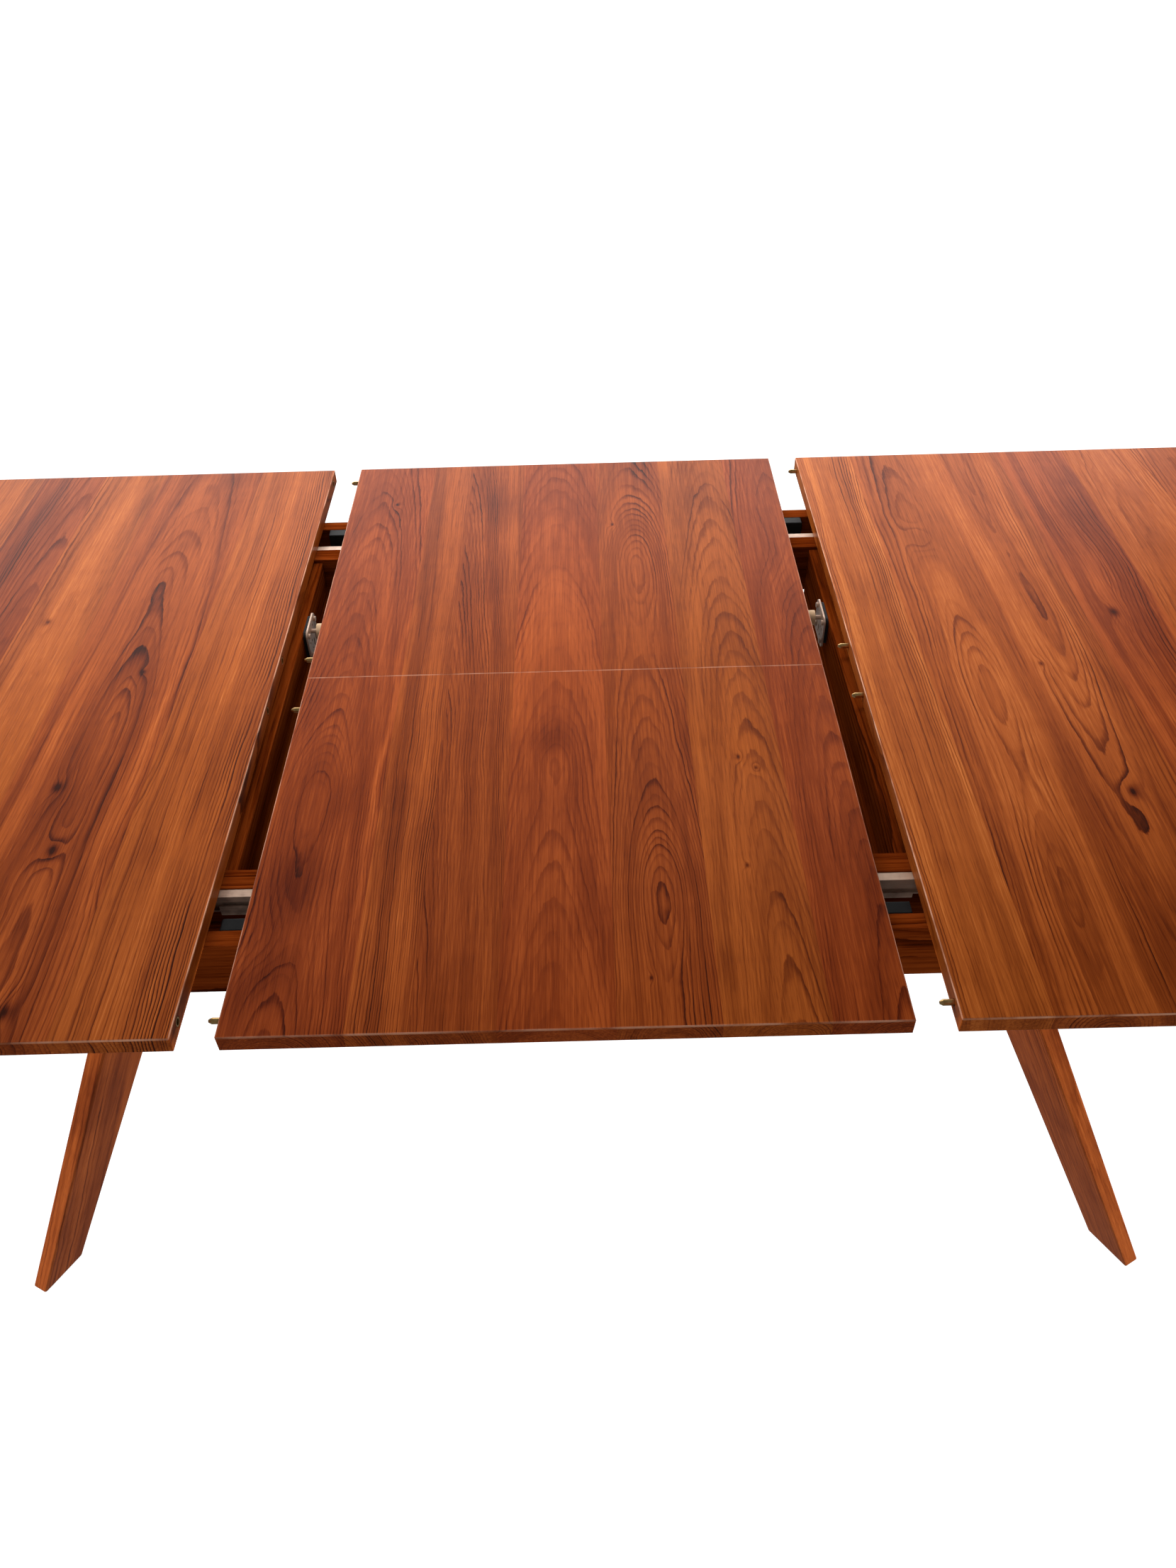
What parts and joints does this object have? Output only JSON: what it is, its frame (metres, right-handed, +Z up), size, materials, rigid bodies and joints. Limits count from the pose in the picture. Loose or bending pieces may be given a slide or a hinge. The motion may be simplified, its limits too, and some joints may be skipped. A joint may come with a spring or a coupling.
{
  "type": "extendable dining table",
  "caption": "Dining table with two sliding end tops on telescopic slides, a folding butterfly leaf that swings on a pivot rod, and splayed board legs.",
  "frame": {"origin": "on the floor, under the middle of the leaf", "axes": "+X along the way the table extends, towards the end top with the brass pins; +Y towards the leaf's pivot rod; +Z up"},
  "size_m": [2.214, 1.016, 0.762],
  "materials": {
    "walnut_top": "satin oiled black walnut, warm orange brown, straight to cathedral grain",
    "walnut_leaf": "satin oiled black walnut, darker reddish brown, cathedral grain",
    "walnut_leg": "satin oiled black walnut, grain along the leg",
    "walnut_frame": "satin oiled black walnut, darker boards",
    "maple": "plain planed pale hardwood",
    "brass": "turned brass, lightly polished",
    "zinc_steel": "rolled steel, zinc plated, dull",
    "black_steel": "steel tube, satin black paint",
    "black_nylon": "moulded black nylon, fine matte",
    "felt": "pressed wool felt"
  },
  "bodies": {
    "base": {"apron_front": "walnut_frame", "apron_rear": "walnut_frame", "slide_rail_front": "walnut_frame", "slide_rail_rear": "walnut_frame", "cross_rail_left": "walnut_frame", "cross_rail_right": "walnut_frame", "end_rail_left": "walnut_frame", "end_rail_right": "walnut_frame", "leg_front_left": "walnut_leg", "leg_front_right": "walnut_leg", "leg_rear_left": "walnut_leg", "leg_rear_right": "walnut_leg", "corner_block_front_left": "maple", "corner_block_front_right": "maple", "corner_block_rear_left": "maple", "corner_block_rear_right": "maple", "foot_glides": "black_nylon", "leg_dowels": "maple", "stiffener_front": "black_steel", "stiffener_rear": "black_steel", "slide_outer_front_left": "zinc_steel", "slide_outer_front_right": "zinc_steel", "slide_outer_rear_left": "zinc_steel", "slide_outer_rear_right": "zinc_steel", "pivot_bracket_left": "zinc_steel", "pivot_bracket_right": "zinc_steel", "bracket_pads": "black_nylon", "bracket_screws": "zinc_steel", "leaf_rest_pads": "felt"},
    "left_top": {"left_top": "walnut_top", "left_runner_front": "maple", "left_runner_rear": "maple", "left_slide_inner_front": "zinc_steel", "left_slide_inner_rear": "zinc_steel", "left_runner_screws": "zinc_steel", "left_pin_sockets": "brass"},
    "right_top": {"right_top": "walnut_top", "right_runner_front": "maple", "right_runner_rear": "maple", "right_slide_inner_front": "zinc_steel", "right_slide_inner_rear": "zinc_steel", "right_runner_screws": "zinc_steel", "right_top_pins": "brass"},
    "left_slide": {"left_slide_middle_front": "zinc_steel", "left_slide_middle_rear": "zinc_steel"},
    "right_slide": {"right_slide_middle_front": "zinc_steel", "right_slide_middle_rear": "zinc_steel"},
    "rear_leaf": {"rear_leaf": "walnut_leaf", "pivot_rod": "maple", "rod_end_pins": "zinc_steel", "rod_carrier_left": "walnut_frame", "rod_carrier_right": "walnut_frame", "carrier_screws": "zinc_steel", "rear_hinge_barrels": "brass", "rear_leaf_pins": "brass", "rear_leaf_sockets": "brass"},
    "front_leaf": {"front_leaf": "walnut_leaf", "front_hinge_barrels": "brass", "front_leaf_pins": "brass", "front_leaf_sockets": "brass"}
  },
  "joints": [
    {"name": "left_top_slide", "type": "slide", "parent": "base", "child": "left_top", "axis": [-1, 0, 0], "range_m": [-0.0397, 0]},
    {"name": "left_slide_travel", "type": "slide", "parent": "base", "child": "left_slide", "axis": [-1, 0, 0], "range_m": [-0.0199, 0]},
    {"name": "right_top_slide", "type": "slide", "parent": "base", "child": "right_top", "axis": [1, 0, 0], "range_m": [-0.0397, 0]},
    {"name": "right_slide_travel", "type": "slide", "parent": "base", "child": "right_slide", "axis": [1, 0, 0], "range_m": [-0.0199, 0]},
    {"name": "leaf_swing", "type": "hinge", "parent": "base", "child": "rear_leaf", "pos_m": [0, 0.142, 0.729], "axis": [1, 0, 0], "range_deg": [0, 90]},
    {"name": "leaf_fold", "type": "hinge", "parent": "rear_leaf", "child": "front_leaf", "pos_m": [0, 0, 0.7623], "axis": [-1, 0, 0], "range_deg": [0, 180]}
  ],
  "couplings": [
    {"joint": "left_slide_travel", "follows": "left_top_slide", "ratio": 0.5},
    {"joint": "right_slide_travel", "follows": "right_top_slide", "ratio": 0.5},
    {"joint": "leaf_fold", "follows": "leaf_swing", "ratio": 2}
  ]
}
